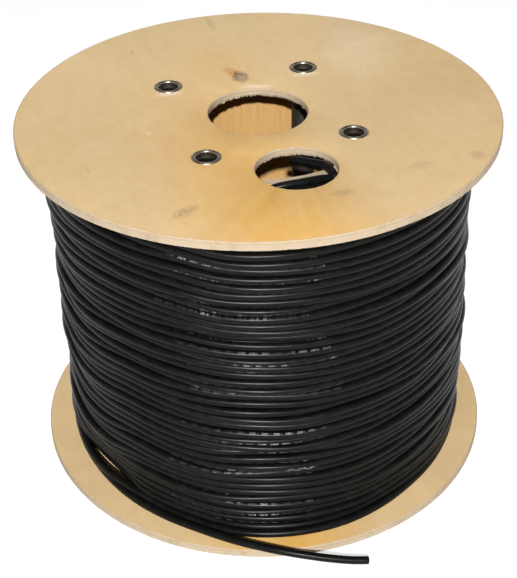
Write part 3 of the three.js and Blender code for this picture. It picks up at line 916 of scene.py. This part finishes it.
def lay_turns(rng):
    """Radius and height of each turn's centreline, by turn and column. A turn stands proud of the layer by
    smooth noise and here and there sinks into it; two neighbours touch, so the more their radii differ the
    closer their heights are; and the room left over is shared out unevenly as gaps, up from the lowest."""
    angle = np.arange(COLUMNS + 1) * TURN / COLUMNS
    turn = np.arange(TURNS - 1)[:, None]
    winding = turn + angle / TURN
    rough_height = TOP_TURN - winding * (TOP_TURN - LOWEST_TURN) / (TURNS - 1)
    radius = LAY_RADIUS + PROUD_RMS * wander(rng, angle, winding) + swell(angle + peel_angle, rough_height)
    sunk = wander(rng, angle, winding, most_waves=SUNK_WAVES) - SUNK_LEVEL
    radius = radius - SUNK_DEPTH * np.clip(sunk, 0, MOST_SUNK)
    share = np.exp(GAP_CONTRAST * wander(rng, angle, winding, most_waves=GAP_WAVES))
    radius[0] -= START_DEPTH * (1 - smooth_step(np.degrees(angle), START_RISES, START_RISEN))

    degrees, line = np.array(LOWEST_TURN_LINE).T
    lowest = np.interp(np.degrees(angle), degrees, line) * MM
    radius[-1] = np.maximum(radius[-1], lowest - MOST_OVERHANG * CABLE_DIAMETER)
    radius[-len(DENT_DEPTHS):] -= DENT_DEPTHS[:, None] * dented(angle)
    base = LOWEST_TURN + np.sqrt(np.maximum(CABLE_DIAMETER ** 2 - (lowest - radius[-1]) ** 2, 0))

    touching = np.sqrt(np.maximum(CABLE_DIAMETER ** 2 - np.diff(radius, axis=0) ** 2, 0))
    slack = TOP_TURN - base[0] - touching[:, 0].sum()
    first_step = touching[0, 0] + slack * share[1, 0] / share[1:, 0].sum()
    top = TOP_TURN - first_step * smooth_step(angle, 0, TURN)
    gaps = share[1:] * (top - base - touching.sum(0)) / share[1:].sum(0)
    above = np.cumsum((touching + gaps)[::-1], axis=0)[::-1]
    height = base + np.concatenate([above, np.zeros((1, COLUMNS + 1))])
    radius = np.concatenate([radius, lowest[None]])
    height = np.concatenate([height, np.full((1, COLUMNS + 1), LOWEST_TURN)])
    return angle + peel_angle, radius, height


def outside_layer():
    """One route through all turns, smoothed as a stiff cable is, which runs into the outer end."""
    angle, radius, height = lay_turns(np.random.default_rng(WINDING_SEED))
    x, y = radius * np.cos(angle), radius * np.sin(angle)
    rings = np.stack([x, y, height], -1)[:, :-1].reshape(-1, 3)
    before = np.repeat(rings[:1], STIFF_PADDING, 0)
    beyond = outer_route[::PEEL_STRIDE][:STIFF_PADDING]
    route = np.concatenate([before, rings, beyond])
    stiffness = np.exp(-0.5 * (np.arange(-STIFF_REACH, STIFF_REACH + 1) / STIFF_SPREAD) ** 2)
    stiffness /= stiffness.sum()
    eased = np.stack([np.convolve(axis, stiffness, "same") for axis in route.T], -1)
    laid = eased[STIFF_PADDING:STIFF_PADDING + len(rings)]
    return np.concatenate([laid, outer_route[:1]])


def closed_cable(route, radius, sides=CABLE_SIDES):
    """A length of cable, closed flat by a ring of radius nought at each end."""
    _, level, upward = directions(route)
    rows = [0, *range(len(route)), len(route) - 1]
    radii = np.full(len(rows), radius)
    radii[[0, -1]] = 0
    return swept_round(route[rows], level[rows], upward[rows], radii, sides)


laid_route = outside_layer()
surface = closed_cable(laid_route, CABLE_RADIUS, LAYER_SIDES)
layer = piece("cable_outside_layer", [surface], [jacket], sharp_angle=np.radians(60))
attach(layer, "root")
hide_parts("cable_winding")

# White ink: thin, so the black shows through it in places.
INK_WHITE = "#B6B6B1"
INK_THIN = "#222221"
INK_PATCH = 45 * MM


def white_ink():
    made, add = material("white_marking_ink")
    place = add("TexCoord", out="Object")
    patches = add("TexNoise", {"Vector": place, "Scale": 1 / INK_PATCH, "Detail": 5.0, "Roughness": 0.7})
    thin = add("MapRange", {"Value": patches, "From Min": 0.38, "From Max": 0.5})
    colour = add("Mix", {FACTOR: thin, FIRST: INK_WHITE, SECOND: INK_THIN}, MIXED, data_type="RGBA")
    roughness = add("MapRange", {"Value": patches, "To Min": 0.55, "To Max": 0.75})
    relief = add("Bump", {"Height": patches, "Strength": 0.2, "Distance": 0.02 * MM})
    shader = add("BsdfPrincipled", {"Base Color": colour, "Roughness": roughness, "Normal": relief})
    add("OutputMaterial", {"Surface": shader})
    return made


# Plain running numbers are printed at even distances: a count in four digits, many times over. The cable
# twists slowly as it is laid, so most of them face the layer below.
MARK_SPACING = 1.095
FIRST_MARK = 0.01
FIRST_COUNT = 305
MARK_REPEATS = 13
GROUP_PITCH = 9.5 * MM
DIGIT_PITCH = 1.6 * MM
DIGIT_WIDTH = 0.95 * MM
DIGIT_HEIGHT = 1.3 * MM
STROKE = 0.25 * MM
# Upright strokes end this many half strokes short of their corners, clear of the level ones.
KEPT_CLEAR = 1.1
# No print starts on the last length of the layer, in metres.
LEFT_CLEAR = 0.2
INK_LIFT = 0.03 * MM
# Down to the flats of the drawn tube, which lie a little inside the real round jacket.
INK_SINK = 0.12 * MM
# The line of the print round the cable: its mean turn up from level, how far it wanders, and how fast, in
# radians a metre.
PRINT_TURNED_UP = np.radians(35)
PRINT_TWIST = np.radians(120)
TWIST_RATE = 0.52
TWIST_START = 0.7

# The strokes of a digit, each from corner to corner in digit widths and heights, and the strokes of 0 to 9.
DIGIT_STROKES = np.array([
    (0, 1, 1, 1),
    (0, 0.5, 0, 1),
    (1, 0.5, 1, 1),
    (0, 0.5, 1, 0.5),
    (0, 0, 0, 0.5),
    (1, 0, 1, 0.5),
    (0, 0, 1, 0),
])
STROKES_USED = ["012456", "25", "02346", "02356", "1235", "01356", "013456", "025", "0123456", "012356"]


def digit(value):
    """Rectangles (left, bottom, right, top) of one digit: each stroke widened by half a stroke to both
    sides, and the upright ones kept clear of the level ones by a little more."""
    left, bottom, right, top = DIGIT_STROKES[[int(k) for k in STROKES_USED[value]]].T
    upright = left == right
    wider = STROKE / 2
    taller = STROKE / 2 * np.where(upright, -KEPT_CLEAR, 1)
    left, right = left * DIGIT_WIDTH - wider, right * DIGIT_WIDTH + wider
    bottom, top = bottom * DIGIT_HEIGHT - taller, top * DIGIT_HEIGHT + taller
    return np.stack([left, bottom, right, top], -1)


def length_marks(route):
    """Each rectangle's corners are carried to the cable: its length along the route picks the centre and the
    two directions there, and its height is an angle round the cable from the line of the print, which
    wanders slowly as the cable twists. Each is a closed film of ink from INK_SINK under the jacket's round
    to INK_LIFT over it."""
    _, level, upward = directions(route)
    along = lengths(route)
    starts = np.arange(FIRST_MARK, along[-1] - LEFT_CLEAR, MARK_SPACING)
    boxes = []
    for count, start in enumerate(starts, FIRST_COUNT):
        for group in range(MARK_REPEATS):
            for place, value in enumerate(f"{count:04d}"):
                offset = start + group * GROUP_PITCH + place * DIGIT_PITCH
                boxes.append(digit(int(value)) + (offset, 0, offset, 0))
    left, bottom, right, top = np.concatenate(boxes).T
    reach = np.stack([left, right, right, left], -1)
    height = np.stack([bottom, bottom, top, top], -1) - DIGIT_HEIGHT / 2
    twisted = PRINT_TURNED_UP + PRINT_TWIST * np.sin(TWIST_RATE * reach + TWIST_START)
    turned_up = twisted + height / CABLE_RADIUS
    centre, out, rise = (read_along(reach, along, values) for values in (route, level, upward))
    facing = np.cos(turned_up)[..., None] * out + np.sin(turned_up)[..., None] * rise
    radii = (CABLE_RADIUS + INK_LIFT, CABLE_RADIUS - INK_SINK)
    points = np.stack([centre + radius * facing for radius in radii], 1)
    # A film's eight corners are its outer four and then its inner four.
    sides = [(k, k + 4, (k + 1) % 4 + 4, (k + 1) % 4) for k in range(4)]
    film = np.array([(0, 1, 2, 3), (7, 6, 5, 4), *sides])
    corners = (np.arange(len(points))[:, None, None] * 8 + film).reshape(-1, 4)
    uv = np.repeat(np.stack([reach, height], -1)[:, None], 2, 1).reshape(-1, 2)
    return points.reshape(-1, 3), corners, uv[corners], 0, False


marks = piece("length_marks_on_cable", [length_marks(laid_route)], [white_ink()])
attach(marks, "root")
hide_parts("cable_winding")

# The layers under the outside one: a turn lies between two of the layer below, so a layer adds less than a
# cable's diameter to the winding. Behind the dent they are pressed back into a notch.
CORE_LAYERS = 11
CORE_TURNS = 42
CORE_COLUMNS = 180
BULGE_STEPS = 7
WINDING_BORE = 109.2 * MM
LAYER_STEP = 5.88 * MM
CORE_CREST = LAY_RADIUS - LAYER_STEP + CABLE_RADIUS
FLANGE_PLAY = 0.3 * MM
CORNER_PLAY = 2 * MM
NOTCH_RADIUS = 160 * MM
NOTCH_HEIGHT = 46 * MM
# Less than all the way to NOTCH_RADIUS, so that the rows pressed back into the notch stay apart.
NOTCH_SHARE = 0.96


def bulges(start, end, count, across):
    """A row of half rounds from start to end, each standing CABLE_RADIUS proud of the line between them."""
    angle = np.linspace(0, np.pi, BULGE_STEPS)
    pitch = (end - start) / count
    centres = start + (np.arange(count) + 0.5) * pitch
    along = (centres[:, None] - np.cos(angle) * pitch / 2).ravel()
    proud = across + np.tile(CABLE_RADIUS * (np.sin(angle) - 1), count)
    return along, proud


core_low = lower_flange_top + FLANGE_PLAY
core_high = upper_flange_underside - FLANGE_PLAY
side_height, side_radius = bulges(core_low + CORNER_PLAY, core_high - CORNER_PLAY, CORE_TURNS, CORE_CREST)
top_radius, top_height = bulges(CORE_CREST, WINDING_BORE, CORE_LAYERS, core_high)
under_radius, under_depth = bulges(WINDING_BORE, CORE_CREST, CORE_LAYERS, -core_low)
core_profile = np.concatenate([
    np.stack([side_radius, side_height], -1),
    np.stack([top_radius, top_height], -1),
    np.stack([under_radius, -under_depth], -1),
])
core_angle = np.arange(CORE_COLUMNS) * TURN / CORE_COLUMNS
low_down = 1 - smooth_step(core_profile[:, 1:], NOTCH_HEIGHT / 2, NOTCH_HEIGHT)
notched = dented((core_angle - peel_angle) % TURN) * low_down
set_back = -NOTCH_SHARE * notched * np.maximum(core_profile[:, :1] - NOTCH_RADIUS, 0)
core_surface = turned(core_profile, columns=CORE_COLUMNS, shift=set_back, wrap_rows=True)
core = piece("cable_under_layers", [core_surface], [jacket], sharp_angle=np.radians(70))
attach(core, "root")
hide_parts("cable_winding")

# --------------------------------------------------------------------------------------------------------
# Lead of the inner end. Just before its free length the cable climbs out of the first layer beside the
# barrel, inside the start hole, where no flange holds it down.
# --------------------------------------------------------------------------------------------------------

LEAD_ROUTE = [
    (-0.0500, -0.0999, 0.2986),
    (-0.0420, -0.1036, 0.2988),
    (-0.0340, -0.1066, 0.3000),
    (-0.0265, -0.1087, 0.3021),
    (-0.0190, -0.1103, 0.3042),
    (-0.0110, -0.1114, 0.3053),
    (-0.0030, -0.1119, 0.3056),
    (0.0050, -0.1118, 0.3056),
    (0.0130, -0.1112, 0.3053),
    (0.0200, -0.1101, 0.3042),
    (0.0270, -0.1086, 0.3021),
    (0.0340, -0.1066, 0.3000),
    (0.0420, -0.1037, 0.2988),
    (0.0500, -0.1001, 0.2986),
]
RISE_ROUTE = [
    (0.0480, -0.1085, 0.2970),
    (0.0410, -0.1120, 0.2976),
    (0.0345, -0.1144, 0.2990),
    (0.0295, -0.1152, 0.3015),
    (0.0268, -0.1137, 0.3050),
    tuple(inner_route[0]),
]
# A little thinner than the cable, so that the inner end covers it where the two meet.
LEAD_RADIUS = CABLE_RADIUS - 0.02 * MM
lead_surfaces = [closed_cable(smooth_route(points), LEAD_RADIUS) for points in (LEAD_ROUTE, RISE_ROUTE)]
lead = piece("cable_lead_of_inner_end", lead_surfaces, [jacket], sharp_angle=np.radians(60))
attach(lead, "root")
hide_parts("cable_winding")

# --------------------------------------------------------------------------------------------------------
# Stage: a white paper floor, a soft main light from over the camera, a weak fill from above and behind, and
# a room whose walls are white and whose ceiling is dim.
# --------------------------------------------------------------------------------------------------------

FLOOR_SIZE = 12.0
FLOOR_WHITE = "#B4B4B4"
FLOOR_LIFT = 0.66

floor_mesh = bpy.data.meshes.new("studio_floor")
half = FLOOR_SIZE / 2
floor_corners = [(-half, -half, 0), (half, -half, 0), (half, half, 0), (-half, half, 0)]
floor_mesh.from_pydata(floor_corners, [], [(0, 1, 2, 3)])
floor = bpy.data.objects.new("studio_floor", floor_mesh)
bpy.context.scene.collection.objects.link(floor)
floor_finish, add = material("studio_paper")


def seen_rays(add):
    """One for the rays that see the stage's white: the camera's, and those that gloss and glass pass on."""
    path = add("LightPath").node.outputs
    plain = add("Math", {0: path["Is Camera Ray"], 1: path["Is Glossy Ray"]}, operation="MAXIMUM")
    return add("Math", {0: plain, 1: path["Is Transmission Ray"]}, operation="MAXIMUM")


lift = add("Math", {0: seen_rays(add), 1: FLOOR_LIFT}, operation="MULTIPLY")
paper = add("BsdfDiffuse", {"Color": FLOOR_WHITE})
glow = add("Emission", {"Color": (1, 1, 1, 1), "Strength": lift})
both = add("AddShader", {0: paper, 1: glow})
add("OutputMaterial", {"Surface": both})
floor_mesh.materials.append(floor_finish)

SKY_STRENGTH = 0.12
# The sines of the elevations where the white walls end and where the dim ceiling begins.
WALL_TOP, CEILING_FROM = 0.2, 0.5
world = bpy.data.worlds.new("studio_sky")
bpy.context.scene.world = world
world.use_nodes = True
world.node_tree.nodes.clear()
add = partial(add_node, world.node_tree)
towards = add("TexCoord", out="Generated")
rise = add("SeparateXYZ", {0: towards}, 2)
walls = add("MapRange", {
    "Value": rise, "From Min": WALL_TOP, "From Max": CEILING_FROM, "To Min": 1.0, "To Max": SKY_STRENGTH,
})
strength = add("Mix", {FACTOR: seen_rays(add), 2: SKY_STRENGTH, 3: walls})
sky = add("Background", {"Color": (1, 1, 1, 1), "Strength": strength})
add("OutputWorld", {"Surface": sky})

# What the camera and the lamps look at.
AIM = np.array([-2.48, 0.75, 134.03]) * MM


def looking_at_drum(azimuth, elevation, distance, roll=0.0):
    """The matrix of a camera or lamp that looks at AIM from that distance. Its azimuth is from -Y and all
    angles are in degrees. roll turns it about its line of sight."""
    a, e, turn = np.radians([azimuth, elevation, roll])
    back = np.array([np.sin(a) * np.cos(e), -np.cos(a) * np.cos(e), np.sin(e)])
    level = np.cross((0, 0, 1), back)
    level /= np.linalg.norm(level)
    upward = np.cross(back, level)
    right = np.cos(turn) * level + np.sin(turn) * upward
    up = np.cos(turn) * upward - np.sin(turn) * level
    place = AIM + back * distance
    return Matrix([[*values] for values in zip(right, up, back, place)] + [[0, 0, 0, 1]])


def lamp(name, azimuth, elevation, distance, size, power):
    """A round lamp of that width in metres and power in watts, aimed at the drum."""
    light = bpy.data.lights.new(name, "AREA")
    light.shape = "DISK"
    light.size = size
    light.energy = power
    made = bpy.data.objects.new(name, light)
    bpy.context.scene.collection.objects.link(made)
    made.matrix_world = looking_at_drum(azimuth, elevation, distance)


lamp("main_light", azimuth=-16.8, elevation=33.9, distance=6.0, size=0.14, power=490)
lamp("top_fill", azimuth=163, elevation=80, distance=3.0, size=1.6, power=9)

camera_data = bpy.data.cameras.new("camera")
camera_data.sensor_width = 36
camera_data.lens = 88.148
camera = bpy.data.objects.new("camera", camera_data)
bpy.context.scene.collection.objects.link(camera)
camera.matrix_world = looking_at_drum(azimuth=-16.8, elevation=34.56, distance=1.26555, roll=-1.22)
bpy.context.scene.camera = camera
bpy.context.scene.view_settings.view_transform = "Standard"
